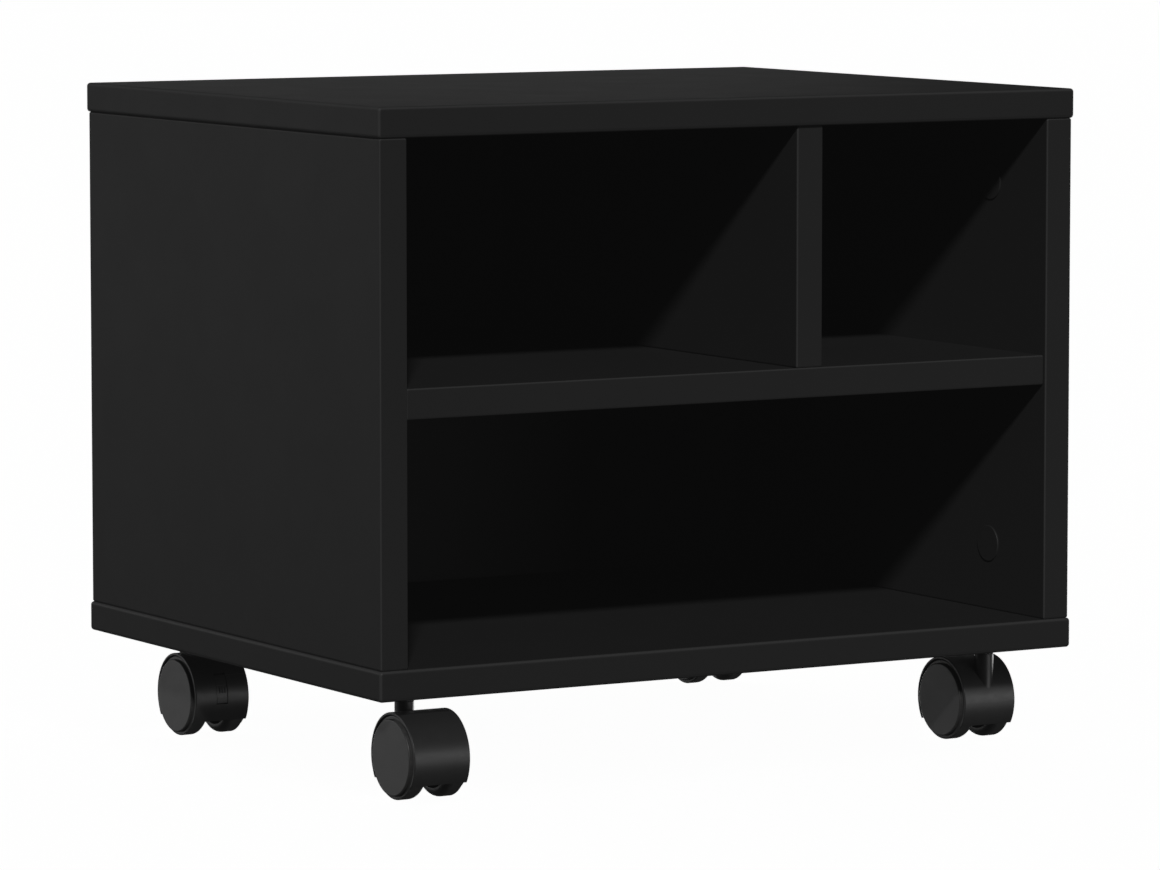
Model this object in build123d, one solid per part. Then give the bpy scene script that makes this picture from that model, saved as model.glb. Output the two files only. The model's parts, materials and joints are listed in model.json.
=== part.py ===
"""Low three-bay cabinet for a printer, on four swivelling twin-wheel casters.

The origin is on the floor under the middle of the cabinet's footprint. +Z is up, the open
front faces -Y, and +X is to the right seen from the front. All sizes are in millimetres.
"""

from math import cos, radians, sin
import os

from build123d import *

os.makedirs("parts", exist_ok=True)

# Cabinet boards
board = 15.0
top_width = 400.0
top_depth = 314.0
side_height = 254.0
overhang = 1.0
front_recess = 1.5
back_recess = 2.0
divider_left = 36.0
top_round = 1.8
board_round = 1.0

# Casters: each stem's inset from the edge of the bottom panel, front pair then rear pair
front_inset = (31.0, 32.5)
rear_inset = (37.5, 39.0)
wheel_radius = 20.5
wheel_inner_face = 5.6
wheel_outer_face = 16.5
tread_end = 14.6
tread_round = 0.8
wheel_inner_round = 3.5
face_radius = 18.7
face_round = 0.7
rim_inner_radius = 16.2
wheel_face_thickness = 1.8
wheel_rib = 1.4
wheel_ribs = 6
hub_radius = 4.6
hub_half_length = 5.2
axle_radius = 2.5
axle_half_length = 12.5
hood_radius = 22.0
hood_inner_radius = 20.9
hood_half_width = 15.3
hood_cut_height = 8.7
web_half_width = 2.2
boss_radius = 4.8
boss_bottom = 20.5
boss_top = 45.4
trail = 16.0
stem_radius = 3.0
stem_bottom = 24.1
stem_in_panel = 12.0
caster_height = 50.0
hood_round = 0.5
wheel_rib_start = 8.5
pin_chamfer = 0.4

# Gaps between pieces that are made apart, and how far the solids of one piece run together
press_gap = 0.02
slide_gap = 0.05
running = 0.06
end_gap = 0.5
overlap = 0.4
far = 60.0

# Snap ring that keeps the hood on its stem
ring_height = 36.1
ring_thickness = 1.0
ring_seat = 2.3
ring_radii = (2.35, 3.75)
ring_gap = 2.0
ring_play = 0.1
ring_room = (0.3, 0.2)

# Wheel lock of the rear casters: a rocker in the nose of the hood, its angles measured
# about the axle, upwards from the nose
lock_angles = (-6.0, 33.0)
lock_half_width = 2.9
lock_slot_half_width = 3.2
lock_pin = (16.5, 12.0)
lock_pin_radius = 1.0
lock_lug = (13.9, -12.0)
lock_lug_radius = 1.1
lock_lug_half_length = 8.0
lock_cheek = (3.2, 4.3)
lock_cheek_radius = 14.0
lock_cheek_angles = (2.0, 24.0)
lock_room_radius = 12.0
lock_room_margins = (18.0, 9.0)
lock_window_radius = 19.0
lock_window_margins = (1.5, 3.0)
lock_pad_radius = 18.6
lock_body_radii = (14.6, 19.0)
lock_body_angles = (-4.0, 22.0)
lock_arm_radii = (12.9, 15.5)
lock_arm_angles = (-16.0, 2.0)
lock_pad_inset = 0.2
ledge_angles = (31.0, 32.4)
ledge_depth = 0.4
grip_places = (-1.5, 0.0, 1.5)
grip_angles = (7.0, 15.5)
grip_lines = (3.0, 17.5, 27.0)
grip_line_half_angle = 0.8
grip_depth = 0.8
grip_half_width = 0.35

# Threaded insert for each stem
insert_radius = 4.5
insert_depth = 12.5
insert_hole_depth = 12.8
insert_gap = 0.03

# Cam fittings, dowels and screws
cam_edge = 34.0
cam_front_inset = 50.0
cam_rear_inset = 46.5
cam_set_in = 0.2
cam_way_radius = 3.6
cam_turn = (2.5, 3.1)
cam_radius = 7.4
cam_height = 11.5
cam_pocket_radius = 7.5
cam_pocket_depth = 12.5
bolt_steps = (1.0, 3.4, 8.0)
bolt_shank_radius = 3.0
bolt_hole_radius = 4.0
bolt_neck_radius = 1.8
bolt_thread_radius = 2.45
bolt_thread_hole = 2.5
bolt_thread_length = 11.0
cap_radius = 9.25
cap_thickness = 0.8
cap_round = 0.4
cap_stub = (1.6, 2.9)
dowel_radius = 4.0
dowel_in_face = 10.0
dowel_in_edge = 19.0
dowel_rows = (-48.0, 52.0)
dowel_back_offset = 60.0
screw_radius = 2.4
screw_head_radius = 4.5
screw_head_depth = (0.3, 3.3)
screw_length = 45.0
screw_recess = (1.9, 1.5)
screw_sink_depth = 3.5
screw_sink_gap = 0.25

# Levels and faces worked out from the sizes above
half_width = top_width / 2
half_depth = top_depth / 2
bottom_top = caster_height + board
side_top = bottom_top + side_height
cabinet_top = side_top + board
inner = half_width - overhang - board
side_front = -half_depth + overhang
side_back = half_depth - overhang
shelf_front = side_front + front_recess
back_front = side_back - back_recess - board
shelf_bottom = bottom_top + (side_height - board) / 2
shelf_top = shelf_bottom + board
side_middle = inner + board / 2
back_middle = back_front + board / 2
front_row = side_front + cam_front_inset
rear_row = side_back - cam_rear_inset
shelf_rows = (-100.0, 95.0)
back_lift_cams = 122.0
back_side_cams = inner - cam_edge + end_gap

left, right = Vector(-1, 0, 0), Vector(1, 0, 0)
behind = Vector(0, 1, 0)
up, down = Vector(0, 0, 1), Vector(0, 0, -1)


def block(x, y, z):
    """A box between its low and high limits along each axis."""
    spans = (x, y, z)
    middle = [(low + high) / 2 for low, high in spans]
    return Pos(*middle) * Box(*[high - low for low, high in spans])


def rod(start, direction, length, radius):
    """A round bar that starts at a point and runs along a direction."""
    return extrude(Plane(origin=start, z_dir=direction) * Circle(radius), length)


def group(solids):
    """Several separate solids kept together as one node."""
    return Compound(list(solids))


# ---------------------------------------------------------------- boards


def rounded_slab(z_low):
    """The top or bottom panel: a slab with every edge eased."""
    slab = block((-half_width, half_width), (-half_depth, half_depth), (z_low, z_low + board))
    return fillet(slab.edges(), top_round)


def eased(x, y, z):
    """A board between its low and high limits, with every edge eased."""
    solid = block(x, y, z)
    return fillet(solid.edges(), board_round)


inner_depth = (shelf_front, back_front)
side_depth = (side_front, side_back)
side_rise = (bottom_top, side_top)
divider_right = divider_left + board
boards = {
    "bottom_panel": rounded_slab(caster_height),
    "top_panel": rounded_slab(side_top),
    "left_side_panel": eased((-inner - board, -inner), side_depth, side_rise),
    "right_side_panel": eased((inner, inner + board), side_depth, side_rise),
    "middle_shelf": eased((-inner, inner), inner_depth, (shelf_bottom, shelf_top)),
    "divider_panel": eased((divider_left, divider_right), inner_depth, (shelf_top, side_top)),
    "back_panel": eased((-inner, inner), (back_front, back_front + board), side_rise),
}


# ---------------------------------------------------------------- fittings


def cam_places():
    """Every cam: its board, the board it pulls on, its face point, and its two directions.

    The first direction runs from the face into the board, the second from the cam to the
    board that it pulls on.
    """
    ends = (("bottom_panel", bottom_top + cam_edge, down), ("top_panel", side_top - cam_edge, up))
    for mate, z, toward in ends:
        for y in (front_row, rear_row):
            yield "left_side_panel", mate, Vector(-inner, y, z), left, toward
            yield "right_side_panel", mate, Vector(inner, y, z), right, toward
        for side in (-1, 1):
            yield "back_panel", mate, Vector(side * back_lift_cams, back_front, z), behind, toward
            wall, outward = (("left_side_panel", left), ("right_side_panel", right))[side > 0]
            yield "back_panel", wall, Vector(side * back_side_cams, back_front, z), behind, outward
    for y in shelf_rows:
        for wall, side, outward in (("left_side_panel", -1, left), ("right_side_panel", 1, right)):
            place = Vector(side * (inner - cam_edge), y, shelf_bottom)
            yield "middle_shelf", wall, place, up, outward
        place = Vector(divider_right, y, side_top - cam_edge)
        yield "divider_panel", "top_panel", place, left, up


def reach(place, toward):
    """The distance from a cam's centre to the end of its board."""
    if toward.Z:
        return abs((side_top if toward.Z > 0 else bottom_top) - place.Z)
    return inner - abs(place.X)


def cam_lock(place, into, toward):
    """The round cam: a slotted way in for the bolt's head and a cross recess on its face."""
    turn_depth, turn_radius = cam_turn
    body = rod(place + into * cam_set_in, into, cam_height, cam_radius)
    way = rod(place + into * board / 2, toward, cam_radius + 1, cam_way_radius)
    turn = rod(place + into * cam_set_in, into, turn_depth, turn_radius)
    return body - way - turn


def cam_bolt(place, into, toward):
    """The bolt: a head in the cam, a neck, a shank and the threaded end in the other board."""
    middle = place + into * board / 2
    run = reach(place, toward)
    head_at, neck_at, shank_at = bolt_steps
    head = rod(middle + toward * head_at, toward, neck_at - head_at, bolt_shank_radius)
    neck = rod(middle + toward * neck_at, toward, shank_at - neck_at, bolt_neck_radius)
    shank = rod(middle + toward * shank_at, toward, run - shank_at, bolt_shank_radius)
    thread = rod(middle + toward * run, toward, bolt_thread_length - end_gap, bolt_thread_radius)
    return head + neck + shank + thread


def cam_cap(place, into):
    """The moulded cap over a cam: a thin disc with a stub that grips the cross recess."""
    stub_length, stub_radius = cap_stub
    disc = rod(place, into * -1, cap_thickness, cap_radius)
    rim = disc.edges().filter_by(GeomType.CIRCLE).sort_by_distance(place + into * board)[-1]
    disc = fillet(rim, cap_round)
    return disc + rod(place, into, stub_length, stub_radius)


def drill(name, hole):
    """Takes a hole out of one board."""
    boards[name] = boards[name] - hole


cams = list(cam_places())
for host, mate, place, into, toward in cams:
    middle = place + into * board / 2
    run = reach(place, toward)
    drill(host, rod(place, into, cam_pocket_depth, cam_pocket_radius))
    drill(host, rod(middle, toward, run, bolt_hole_radius))
    drill(mate, rod(middle + toward * run, toward, bolt_thread_length, bolt_thread_hole))

# Dowels: the board drilled in its face, the board drilled in its end, the point where the
# two meet, and the direction from the face board into the end board
dowel_places = []
divider_middle = divider_left + board / 2
for y in dowel_rows:
    for wall, side in (("left_side_panel", -1), ("right_side_panel", 1)):
        dowel_places += [
            ("bottom_panel", wall, Vector(side * side_middle, y, bottom_top), up),
            ("top_panel", wall, Vector(side * side_middle, y, side_top), down),
        ]
    dowel_places.append(("middle_shelf", "divider_panel", Vector(divider_middle, y, shelf_top), up))
for side in (-1, 1):
    place = Vector(side * dowel_back_offset, back_middle, bottom_top)
    dowel_places.append(("bottom_panel", "back_panel", place, up))
for wall, side, inward in (("left_side_panel", -1, right), ("right_side_panel", 1, left)):
    place = Vector(side * inner, 0, shelf_bottom + board / 2)
    dowel_places.append((wall, "middle_shelf", place, inward))

dowels = []
for face_board, end_board, place, into in dowel_places:
    drill(face_board, rod(place, into * -1, dowel_in_face + end_gap, dowel_radius + slide_gap))
    drill(end_board, rod(place, into, dowel_in_edge + end_gap, dowel_radius + slide_gap))
    dowels.append(rod(place - into * dowel_in_face, into, dowel_in_face + dowel_in_edge, dowel_radius))

# Two countersunk screws hold the divider to the shelf from below
screws = []
for y in shelf_rows:
    foot = Vector(divider_middle, y, shelf_bottom)
    head_low, head_high = screw_head_depth
    cone = Cone(screw_head_radius, screw_radius, head_high - head_low)
    head = Pos(foot + up * (head_low + head_high) / 2) * cone
    shank = rod(foot + up * end_gap, up, screw_length - end_gap, screw_radius)
    screws.append(head + shank - rod(foot, up, *screw_recess))
    for name in ("middle_shelf", "divider_panel"):
        drill(name, rod(foot, up, screw_length + end_gap, screw_radius + slide_gap))
    sink = Cone(screw_head_radius + screw_sink_gap, screw_radius + slide_gap, screw_sink_depth)
    drill("middle_shelf", Pos(foot + up * screw_sink_depth / 2) * sink)


# ---------------------------------------------------------------- casters
# Each piece is made with its stem on the Z axis and its wheels towards -Y.


def about_axle(sketch, half_length):
    """A section drawn in the YZ plane round the axle, carried both ways along X."""
    return Pos(0, -trail, wheel_radius) * extrude(Plane.YZ * sketch, half_length, both=True)


def nose_point(radius, angle):
    """A point in the caster's YZ section, at an angle above the nose of the hood."""
    return -radius * cos(radians(angle)), radius * sin(radians(angle))


def slice_of_ring(radii, angles, half_length):
    """Part of a ring about the axle, between two radii and two angles above the nose."""
    wedge = make_face(Polyline((0, 0), *[nose_point(far, angle) for angle in angles], close=True))
    return about_axle((Circle(radii[1]) - Circle(radii[0])) & wedge, half_length)


def cross_bar(place, radius, half_length):
    """A bar parallel to the axle, at a radius and an angle above the nose."""
    return about_axle(Pos(*nose_point(*place)) * Circle(radius), half_length)


def hood(locking):
    """The moulded body: a round cover over both wheels, the web between them and the stem boss."""
    shell = about_axle(Circle(hood_radius), hood_half_width)
    shell = fillet(shell.edges().filter_by(GeomType.CIRCLE), hood_round)
    shell -= about_axle(Circle(hood_inner_radius), hood_half_width + 1)
    web = about_axle(Circle(hood_inner_radius + overlap), web_half_width)
    hub = about_axle(Circle(hub_radius), hub_half_length)
    boss = rod(Vector(0, 0, boss_bottom), up, boss_top - boss_bottom, boss_radius)
    boss = fillet(boss.edges().sort_by(Axis.Z)[-1], hood_round)
    body = shell + web + hub + boss
    body -= block((-far, far), (-far, far), (-far, hood_cut_height))
    body -= about_axle(Circle(axle_radius + press_gap), far)
    body -= rod(Vector(0, 0, stem_bottom - ring_play), up, far, stem_radius + slide_gap)
    room_height = ring_thickness + 2 * ring_room[0]
    body -= rod(Vector(0, 0, ring_height - ring_room[0]), up, room_height, ring_radii[1] + ring_room[1])
    if locking:
        low, high = lock_angles
        room_angles = (low - lock_room_margins[0], high + lock_room_margins[1])
        window_angles = (low - lock_window_margins[0], high + lock_window_margins[1])
        room_radii = (lock_room_radius, hood_inner_radius - ring_play)
        cheek_radii = (lock_cheek_radius, hood_inner_radius + overlap)
        body -= slice_of_ring(room_radii, room_angles, lock_slot_half_width)
        body -= slice_of_ring((lock_window_radius, far), window_angles, lock_slot_half_width)
        cheeks = slice_of_ring(cheek_radii, lock_cheek_angles, lock_cheek[1])
        body += cheeks - about_axle(Circle(far), lock_cheek[0])
        ledge = slice_of_ring((hood_radius - ledge_depth, far), ledge_angles, far)
        body -= ledge & block((lock_slot_half_width, far), (-far, far), (-far, far))
        body -= cross_bar(lock_pin, lock_pin_radius + press_gap, far)
    return body


def stem():
    """The steel stem: it screws into the insert, and turns in the hood's boss."""
    length = caster_height + stem_in_panel - stem_bottom
    pin = rod(Vector(0, 0, stem_bottom), up, length, stem_radius)
    pin = chamfer(pin.edges().filter_by(GeomType.CIRCLE), pin_chamfer)
    groove_bottom = Vector(0, 0, ring_height - ring_play)
    groove = rod(groove_bottom, up, ring_thickness + 2 * ring_play, far)
    return pin - (groove - rod(groove_bottom, up, ring_thickness + 2 * ring_play, ring_seat))


def stem_ring():
    """The split snap ring in the stem's groove."""
    flat = Circle(ring_radii[1]) - Circle(ring_radii[0])
    flat -= Pos(0, ring_radii[1]) * Rectangle(ring_gap, ring_radii[1])
    return Pos(0, 0, ring_height) * extrude(flat, ring_thickness)


def insert():
    """The threaded insert pressed into the bottom panel, flush with its underside."""
    sleeve = rod(Vector(0, 0, caster_height), up, insert_depth, insert_radius)
    return sleeve - rod(Vector(0, 0, caster_height), up, insert_depth, stem_radius + insert_gap)


def axle():
    """The steel axle pressed through the hood's web."""
    pin = about_axle(Circle(axle_radius), axle_half_length)
    return chamfer(pin.edges().filter_by(GeomType.CIRCLE), pin_chamfer)


def wheel_section():
    """Half of a wheel's cross-section, with the axle along X and the radius along Y."""
    back = wheel_outer_face - wheel_face_thickness
    bore = (axle_half_length + end_gap, axle_radius + running)
    inner_corner = (wheel_inner_face, wheel_radius)
    outer_corner = (tread_end, wheel_radius)
    rim = (wheel_outer_face, face_radius)
    outline = Polyline(
        (wheel_outer_face, 0),
        (bore[0], 0),
        bore,
        (wheel_inner_face, bore[1]),
        (wheel_inner_face, hub_radius),
        (back, hub_radius),
        (back, rim_inner_radius),
        (wheel_inner_face, rim_inner_radius),
        inner_corner,
        outer_corner,
        (tread_end, face_radius),
        rim,
        close=True,
    )
    section = make_face(outline)
    rounds = ((inner_corner, wheel_inner_round), (outer_corner, tread_round), (rim, face_round))
    for corner, radius in rounds:
        section = fillet(section.vertices().sort_by_distance(corner)[0], radius)
    return section


def wheel(side):
    """One moulded wheel: a raised outer disc, the tread, a ribbed back and a blind hub."""
    disc = revolve(wheel_section(), Axis.X)
    back = wheel_outer_face - wheel_face_thickness
    rib_run = (hub_radius - overlap, rim_inner_radius + overlap)
    rib = block((wheel_rib_start, back + overlap), rib_run, (-wheel_rib / 2, wheel_rib / 2))
    for turn in range(wheel_ribs):
        disc += Rot(turn * 360 / wheel_ribs, 0, 0) * rib
    if side < 0:
        disc = mirror(disc, about=Plane.YZ)
    return Pos(0, -trail, wheel_radius) * disc


def lock_rocker():
    """The rocker of the wheel lock: a ribbed pad, the body on its pin and two braking lugs."""
    pad = slice_of_ring((lock_pad_radius, hood_radius - lock_pad_inset), lock_angles, lock_half_width)
    body = slice_of_ring(lock_body_radii, lock_body_angles, lock_half_width)
    arm = slice_of_ring(lock_arm_radii, lock_arm_angles, lock_half_width)
    rocker = pad + body + arm + cross_bar(lock_lug, lock_lug_radius, lock_lug_half_length)
    groove = slice_of_ring((hood_radius - grip_depth, hood_radius), grip_angles, grip_half_width)
    for x in grip_places:
        rocker -= Pos(x, 0, 0) * groove
    for angle in grip_lines:
        line_angles = (angle - grip_line_half_angle, angle + grip_line_half_angle)
        rocker -= slice_of_ring((hood_radius - grip_depth, hood_radius), line_angles, lock_half_width)
    return rocker - cross_bar(lock_pin, lock_pin_radius + slide_gap, far)


def lock_pivot():
    """The pin that the rocker turns on, held in the hood's two cheeks."""
    return cross_bar(lock_pin, lock_pin_radius, lock_cheek[1])


nodes = {}
inserts = []
corners = {
    "front_left": (-1, -1, 0),
    "front_right": (1, -1, 180),
    "rear_left": (-1, 1, 0),
    "rear_right": (1, 1, 180),
}
for corner, (x_side, y_side, heading) in corners.items():
    inset = front_inset if y_side < 0 else rear_inset
    stem_at = Pos(x_side * (half_width - inset[0]), y_side * (half_depth - inset[1]), 0)
    place = stem_at * Rot(0, 0, heading)
    locking = y_side > 0
    facing = 1 if heading == 0 else -1
    insert_hole = rod(Vector(0, 0, caster_height), up, insert_hole_depth, insert_radius + insert_gap)
    drill("bottom_panel", stem_at * insert_hole)
    inserts.append(place * insert())
    nodes[f"{corner}_stem"] = place * stem()
    nodes[f"{corner}_stem_ring"] = place * stem_ring()
    nodes[f"{corner}_hood"] = place * hood(locking)
    nodes[f"{corner}_axle"] = place * axle()
    nodes[f"{corner}_left_wheel"] = place * wheel(-facing)
    nodes[f"{corner}_right_wheel"] = place * wheel(facing)
    if locking:
        nodes[f"{corner}_lock_rocker"] = place * lock_rocker()
        nodes[f"{corner}_lock_pin"] = place * lock_pivot()

nodes.update(boards)
nodes["caster_inserts"] = group(inserts)
nodes["cam_locks"] = group(cam_lock(place, into, toward) for _, _, place, into, toward in cams)
nodes["cam_bolts"] = group(cam_bolt(place, into, toward) for _, _, place, into, toward in cams)
nodes["cam_cover_caps"] = group(cam_cap(place, into) for _, _, place, into, _ in cams)
nodes["wooden_dowels"] = group(dowels)
nodes["divider_screws"] = group(screws)

for name, shape in nodes.items():
    export_step(shape, f"parts/{name}.step")
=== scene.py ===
"""Looks for the low printer cabinet: finishes, floor, studio light and camera.

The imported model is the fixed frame. Its origin is on the floor under the middle of the
cabinet, +Z is up and the open front faces -Y. Lengths are in metres. Azimuths and elevations
are in degrees: azimuth 0 is straight in front, and 90 is on the right, at +X.
"""

import json
import math

import bpy
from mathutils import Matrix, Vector

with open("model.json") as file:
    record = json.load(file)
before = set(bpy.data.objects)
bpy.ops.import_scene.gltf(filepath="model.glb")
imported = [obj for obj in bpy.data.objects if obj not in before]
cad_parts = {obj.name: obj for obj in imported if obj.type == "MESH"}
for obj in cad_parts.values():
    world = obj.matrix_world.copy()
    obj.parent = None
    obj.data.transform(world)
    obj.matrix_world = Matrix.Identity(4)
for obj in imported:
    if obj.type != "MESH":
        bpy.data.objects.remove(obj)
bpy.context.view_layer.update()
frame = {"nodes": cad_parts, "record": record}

mm = 0.001

# Camera: the point it looks at, how far off it stands and in which direction, and its lens
# and sensor in millimetres
aim = Vector((0.0029, 0.0, 0.1548))
view_distance = 3.20
view_azimuth = -30.49
view_elevation = 5.70
lens = 193.7
sensor = 36.0
nearest_seen = 0.1
farthest_seen = 200.0

# Light that a pale room scatters in the lens, over the dark object
lens_glare = 0.0028

# Key: sun-like, from the front left and above; its softness is its width, in degrees
key_strength = 1.13
key_azimuth = -30
key_elevation = 35.3
key_softness = 4

# Soft panels, each with its azimuth, elevation and distance, its width and height, and its
# radiance. The first ones light the object from above the floor. The low ones stand almost
# wholly below its level and the caster ones partly, and the floor lets them through, as the
# bounce from a pale floor lights the sides and not the top. The caster ones light only the
# casters.
panels = {
    "left_panel": (-130, 12, 2.8, 3.3, 1.3, 0.74),
    "front_panel": (31, 5.5, 2.6, 0.9, 0.45, 1.9),
    "back_panel_light": (158, 12, 2.8, 1.4, 0.9, 0.42),
}
low_panels = {
    "right_panel": (114, -9, 2.8, 2.1, 0.9, 4.2),
    "rear_panel": (159, -9, 2.8, 1.9, 0.9, 3.4),
}
caster_panels = {
    "low_front_panel": (31, 1, 2.6, 1.7, 1.3, 1.15),
    "low_left_panel": (-150, -3, 2.6, 1.8, 0.9, 0.36),
}
caster_slots = ("hood_plastic", "wheel_plastic")

# Even light on the object from all round
sky_strength = 0.022

# Floor: it lies just under the wheels, so that it doesn't share a plane with them
floor_half = 30.0
floor_drop = 0.2 * mm
floor_glow = 0.975
floor_roughness = 0.9


# ---------------------------------------------------------------- finishes


class Finish:
    """A procedural material in the object's own coordinates, built node by node."""

    def __init__(self, name):
        self.material = bpy.data.materials.new(name)
        self.material.use_nodes = True
        self.tree = self.material.node_tree
        self.shader = self.tree.nodes["Principled BSDF"]
        self.place = self.add("ShaderNodeTexCoord").outputs["Object"]

    def add(self, kind, inputs=(), **settings):
        """Adds a node; each input is a socket to link from or a plain value."""
        node = self.tree.nodes.new(kind)
        for name, value in settings.items():
            setattr(node, name, value)
        for key, value in dict(inputs).items():
            self.feed(node.inputs[key], value)
        return node

    def feed(self, socket, value):
        """Links a socket to another one, or sets it to a plain value."""
        if isinstance(value, bpy.types.NodeSocket):
            self.tree.links.new(value, socket)
        else:
            socket.default_value = value

    def noise(self, scale, detail=2, distortion=0.0, stretch=(1, 1, 1)):
        """Noise from 0 to 1; the scale counts its features in a metre."""
        place = self.add("ShaderNodeMapping", {"Vector": self.place, "Scale": stretch}).outputs[0]
        wanted = {"Vector": place, "Scale": scale, "Detail": detail, "Distortion": distortion}
        return self.add("ShaderNodeTexNoise", wanted).outputs["Fac"]

    def ramp(self, value, low, high, to_low=0.0, to_high=1.0):
        """Maps a value from one range to another, held at both ends."""
        wanted = {"Value": value, "From Min": low, "From Max": high}
        wanted.update({"To Min": to_low, "To Max": to_high})
        return self.add("ShaderNodeMapRange", wanted, clamp=True).outputs["Result"]

    def math(self, operation, first, second=0.0):
        return self.add("ShaderNodeMath", {0: first, 1: second}, operation=operation).outputs[0]

    def scaled(self, value, amount):
        return self.math("MULTIPLY", value, amount)

    def blend(self, amount, first, second):
        """Mixes two colours."""
        node = self.add("ShaderNodeMix", data_type="RGBA")
        for index, value in ((0, amount), (6, first), (7, second)):
            self.feed(node.inputs[index], value)
        return node.outputs[2]

    def edges(self, radius):
        """1 along the edges of a piece and 0 on its faces."""
        bevel = self.add("ShaderNodeBevel", {"Radius": radius}, samples=8).outputs[0]
        normal = self.add("ShaderNodeNewGeometry").outputs["Normal"]
        along = self.add("ShaderNodeVectorMath", {0: bevel, 1: normal}, operation="DOT_PRODUCT")
        return self.ramp(self.math("SUBTRACT", 1.0, along.outputs["Value"]), 0.02, 0.25)

    def normal_axes(self):
        """The X, Y and Z of the surface's direction, in the object's own coordinates."""
        normal = self.add("ShaderNodeTexCoord").outputs["Normal"]
        return self.add("ShaderNodeSeparateXYZ", {0: normal}).outputs

    def eased(self):
        """1 on the eased edges of a square-set board and 0 on its flat faces; the board finish
        makes these edges smoother and paints a highlight on them.
        """
        # Past the second cosine an edge is fully smoothed and carries the full painted highlight.
        flat, rubbed_and_highlit = 0.985, 0.86  # the cosines of 10 and 31 degrees off square
        along = [self.math("ABSOLUTE", axis) for axis in self.normal_axes()]
        squareness = self.math("MAXIMUM", self.math("MAXIMUM", along[0], along[1]), along[2])
        return self.ramp(squareness, rubbed_and_highlit, flat, to_low=1.0, to_high=0.0)

    def bump(self, heights):
        """Stacks bumps: each is a height, its strength and its depth."""
        normal = None
        for height, strength, depth in heights:
            wanted = {"Height": height, "Strength": strength, "Distance": depth}
            if normal is not None:
                wanted["Normal"] = normal
            normal = self.add("ShaderNodeBump", wanted).outputs[0]
        self.feed(self.shader.inputs["Normal"], normal)

    def complete(self, colour, roughness, metallic=0.0, specular=0.5):
        self.feed(self.shader.inputs["Base Color"], colour)
        self.feed(self.shader.inputs["Roughness"], roughness)
        self.feed(self.shader.inputs["Metallic"], metallic)
        self.feed(self.shader.inputs["Specular IOR Level"], specular)
        return self.material


def grey(level, warmth=0.0):
    """A colour of one brightness, with a little more red and less blue where it is warm."""
    return (level * (1 + warmth), level, level * (1 - warmth), 1.0)


def board_finish():
    """Matt black melamine: a fine pearl, an uneven sheen, and eased edges rubbed a little
    smoother and painted paler as a highlight.
    """
    look = Finish("black_melamine")
    pearl = look.noise(1500)
    clouds = look.noise(7, detail=3)
    smudges = look.noise(38, detail=4, distortion=0.6)
    edge = look.eased()
    tone = look.blend(clouds, grey(0.027), grey(0.031))
    # Painted highlight: the eased edges, and the joints where boards meet, are made paler in
    # place of the light their rounding catches.
    tone = look.blend(edge, tone, grey(0.062))
    sheen = look.ramp(smudges, 0.3, 0.7, to_low=0.56, to_high=0.60)
    sheen = look.math("SUBTRACT", sheen, look.scaled(edge, 0.10))
    look.bump([(pearl, 0.12, 0.04 * mm), (clouds, 0.05, 0.2 * mm)])
    return look.complete(tone, sheen, specular=0.2)


def moulded_finish(name, darkest, palest, roughness, edge_level):
    """Moulded black plastic: a spark-eroded grain, faint flow marks and polished edges."""
    look = Finish(name)
    grain = look.noise(4200)
    flow = look.noise(90, detail=3, distortion=0.8, stretch=(1, 1, 0.35))
    scuffs = look.noise(420, detail=5, distortion=1.2, stretch=(1, 0.25, 1))
    edge = look.edges(0.6 * mm)
    tone = look.blend(flow, grey(darkest), grey(palest))
    tone = look.blend(look.scaled(edge, 0.6), tone, grey(edge_level))
    sheen = look.ramp(scuffs, 0.35, 0.75, to_low=roughness, to_high=roughness + 0.09)
    sheen = look.math("SUBTRACT", sheen, look.scaled(edge, 0.07))
    look.bump([(grain, 0.2, 0.03 * mm), (flow, 0.04, 0.1 * mm)])
    return look.complete(tone, sheen)


def wheel_finish():
    """Moulded dark grey nylon: grained faces and a tread scuffed paler by the floor."""
    look = Finish("wheel_nylon")
    grain = look.noise(3600)
    scuffs = look.noise(700, detail=6, distortion=1.5, stretch=(0.2, 1, 1))
    dust = look.noise(160, detail=4, distortion=0.4)
    edge = look.edges(0.6 * mm)
    facing = look.math("ABSOLUTE", look.normal_axes()[0])
    tread = look.ramp(facing, 0.35, 0.75, to_low=1.0, to_high=0.0)
    worn = look.math("MULTIPLY", tread, look.ramp(scuffs, 0.42, 0.68))
    tone = look.blend(dust, grey(0.046), grey(0.056))
    tone = look.blend(look.scaled(worn, 0.45), tone, grey(0.10, warmth=0.03))
    tone = look.blend(look.scaled(edge, 0.5), tone, grey(0.075))
    sheen = look.ramp(dust, 0.3, 0.7, to_low=0.34, to_high=0.42)
    sheen = look.math("ADD", sheen, look.scaled(worn, 0.16))
    scuffed = look.math("MULTIPLY", scuffs, tread)
    look.bump([(grain, 0.18, 0.03 * mm), (scuffed, 0.2, 0.05 * mm)])
    return look.complete(tone, sheen)


def plated_finish(name, darkest, palest, roughness, stretch=(1, 1, 1)):
    """Plated or cast metal: a fine grain, drawn out where turned, and clouded plating."""
    look = Finish(name)
    grain = look.noise(2600, stretch=stretch)
    clouds = look.noise(300, detail=4)
    edge = look.edges(0.3 * mm)
    tone = look.blend(clouds, grey(darkest, warmth=-0.01), grey(palest, warmth=-0.01))
    tone = look.blend(look.scaled(edge, 0.4), tone, grey(palest * 1.15))
    sheen = look.ramp(clouds, 0.3, 0.7, to_low=roughness, to_high=roughness + 0.14)
    look.bump([(grain, 0.3, 0.02 * mm)])
    return look.complete(tone, sheen, metallic=1.0)


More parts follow.
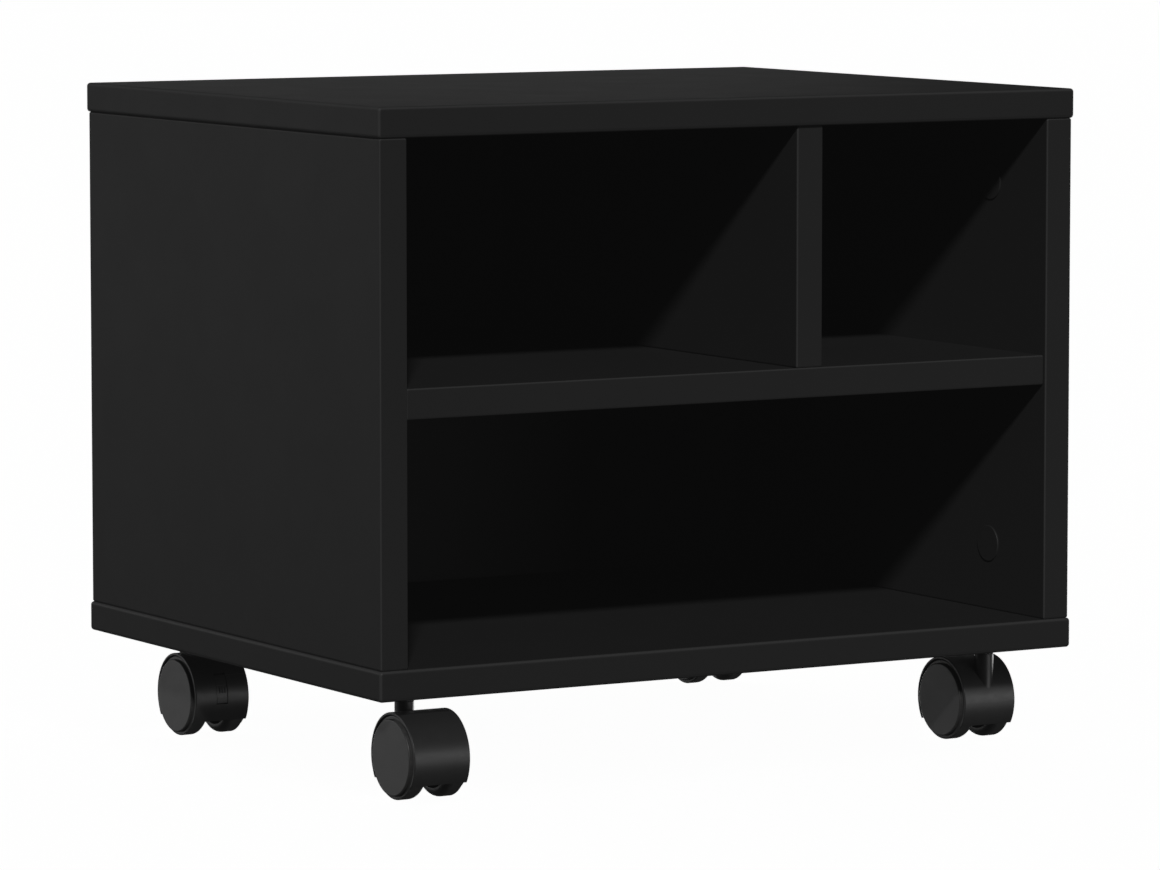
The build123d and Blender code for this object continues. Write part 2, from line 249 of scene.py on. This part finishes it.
def beech_finish():
    """Bare beech: long straight grain with short dark flecks."""
    look = Finish("bare_beech")
    deep, pale, fleck = (0.55, 0.37, 0.21, 1), (0.70, 0.52, 0.33, 1), (0.38, 0.22, 0.11, 1)
    grain = look.noise(420, detail=5, distortion=0.3, stretch=(1, 1, 0.08))
    flecks = look.ramp(look.noise(1300, stretch=(1, 1, 0.15)), 0.62, 0.75)
    tone = look.blend(grain, deep, pale)
    tone = look.blend(look.scaled(flecks, 0.5), tone, fleck)
    sheen = look.ramp(grain, 0.3, 0.7, to_low=0.55, to_high=0.72)
    look.bump([(grain, 0.3, 0.08 * mm)])
    return look.complete(tone, sheen)


finishes = {
    "black_board": board_finish(),
    "cap_plastic": moulded_finish("cap_plastic", 0.026, 0.030, 0.50, edge_level=0.040),
    "hood_plastic": moulded_finish("hood_plastic", 0.024, 0.031, 0.36, edge_level=0.050),
    "wheel_plastic": wheel_finish(),
    "steel": plated_finish("zinc_plate", 0.50, 0.62, 0.24, stretch=(0.15, 0.15, 1)),
    "zinc_alloy": plated_finish("cast_zinc", 0.38, 0.48, 0.42),
    "beech": beech_finish(),
}
for part in frame["record"]["subparts"]:
    mesh = frame["nodes"][part["node"]].data
    for index in range(len(mesh.materials)):
        mesh.materials[index] = finishes[part["material_slot"]]


# ---------------------------------------------------------------- stage


def link(name, data):
    piece = bpy.data.objects.new(name, data)
    bpy.context.scene.collection.objects.link(piece)
    return piece


def floor_finish():
    """A pale floor that glows a little, so that it stays plain with only a soft shadow."""
    look = Finish("pale_floor")
    look.feed(look.shader.inputs["Emission Color"], grey(1.0))
    look.feed(look.shader.inputs["Emission Strength"], floor_glow)
    tone = look.blend(look.noise(0.6), grey(0.88), grey(0.90))
    return look.complete(tone, floor_roughness, specular=0.0)


def make_floor():
    """A wide square that the camera sees, and that lights nothing and shows in no gloss."""
    mesh = bpy.data.meshes.new("floor")
    signs = ((-1, -1), (1, -1), (1, 1), (-1, 1))
    corners = [(x * floor_half, y * floor_half, -floor_drop) for x, y in signs]
    mesh.from_pydata(corners, [], [(0, 1, 2, 3)])
    mesh.materials.append(floor_finish())
    floor = link("floor", mesh)
    floor.visible_diffuse = False
    floor.visible_glossy = False
    return floor


def direction(azimuth, elevation):
    """The unit vector to a place seen at an azimuth and elevation."""
    azimuth, elevation = math.radians(azimuth), math.radians(elevation)
    flat = math.cos(elevation)
    return Vector((math.sin(azimuth) * flat, -math.cos(azimuth) * flat, math.sin(elevation)))


def aimed_from(toward):
    """The turn of a light or a camera that stands in a direction and looks back along it."""
    return toward.to_track_quat("Z", "Y").to_euler()


def light_group(name, members, state):
    """The pieces that a light is kept to, INCLUDE, or kept off, EXCLUDE."""
    group = bpy.data.collections.new(name)
    for piece in members:
        group.objects.link(piece)
    for entry in group.collection_objects:
        entry.light_linking.link_state = state
    return group


def make_key(receivers):
    light = bpy.data.lights.new("key", "SUN")
    light.energy = key_strength
    light.angle = math.radians(key_softness)
    key = link("key", light)
    key.rotation_euler = aimed_from(direction(key_azimuth, key_elevation))
    key.light_linking.receiver_collection = receivers


def make_panel(name, azimuth, elevation, distance, width, height, radiance, receivers):
    """A soft light panel that stands off the origin, faces it and lights only its receivers."""
    light = bpy.data.lights.new(name, "AREA")
    light.shape = "RECTANGLE"
    light.size, light.size_y = width, height
    light.energy = radiance * math.pi * width * height
    panel = link(name, light)
    toward = direction(azimuth, elevation)
    panel.location = toward * distance
    panel.rotation_euler = aimed_from(toward)
    panel.light_linking.receiver_collection = receivers
    return panel


def make_lights(floor):
    """The key and the panels. All of them spare the floor, which stays plain."""
    all_but_floor = light_group("all_but_floor", [floor], "EXCLUDE")
    subparts = frame["record"]["subparts"]
    caster_nodes = [part["node"] for part in subparts if part["material_slot"] in caster_slots]
    casters = light_group("casters", [frame["nodes"][node] for node in caster_nodes], "INCLUDE")
    make_key(all_but_floor)
    for name, panel in panels.items():
        make_panel(name, *panel, all_but_floor)
    for table, receivers in ((low_panels, all_but_floor), (caster_panels, casters)):
        for name, panel in table.items():
            lamp = make_panel(name, *panel, receivers)
            lamp.light_linking.blocker_collection = all_but_floor


def make_sky():
    """Dim and even all round for the object, plain white behind it."""
    world = bpy.data.worlds.new("studio")
    world.use_nodes = True
    nodes, links = world.node_tree.nodes, world.node_tree.links
    fill = nodes["Background"]
    fill.inputs["Color"].default_value = grey(1.0)
    fill.inputs["Strength"].default_value = sky_strength
    white = nodes.new("ShaderNodeBackground")
    white.inputs["Color"].default_value = grey(1.0)
    mix = nodes.new("ShaderNodeMixShader")
    links.new(nodes.new("ShaderNodeLightPath").outputs["Is Camera Ray"], mix.inputs[0])
    links.new(fill.outputs[0], mix.inputs[1])
    links.new(white.outputs[0], mix.inputs[2])
    links.new(mix.outputs[0], nodes["World Output"].inputs["Surface"])
    bpy.context.scene.world = world


def make_camera():
    data = bpy.data.cameras.new("camera")
    data.lens = lens
    data.sensor_width = sensor
    data.clip_start, data.clip_end = nearest_seen, farthest_seen
    camera = link("camera", data)
    toward = direction(view_azimuth, view_elevation)
    camera.location = aim + toward * view_distance
    camera.rotation_euler = aimed_from(toward)
    bpy.context.scene.camera = camera


def make_film():
    """A plain tone curve, with the blacks lifted by the glare in the lens."""
    film = bpy.context.scene.view_settings
    film.view_transform = "Standard"
    film.use_curve_mapping = True
    film.curve_mapping.black_level = [-lens_glare] * 3
    film.curve_mapping.update()


make_lights(make_floor())
make_sky()
make_camera()
make_film()
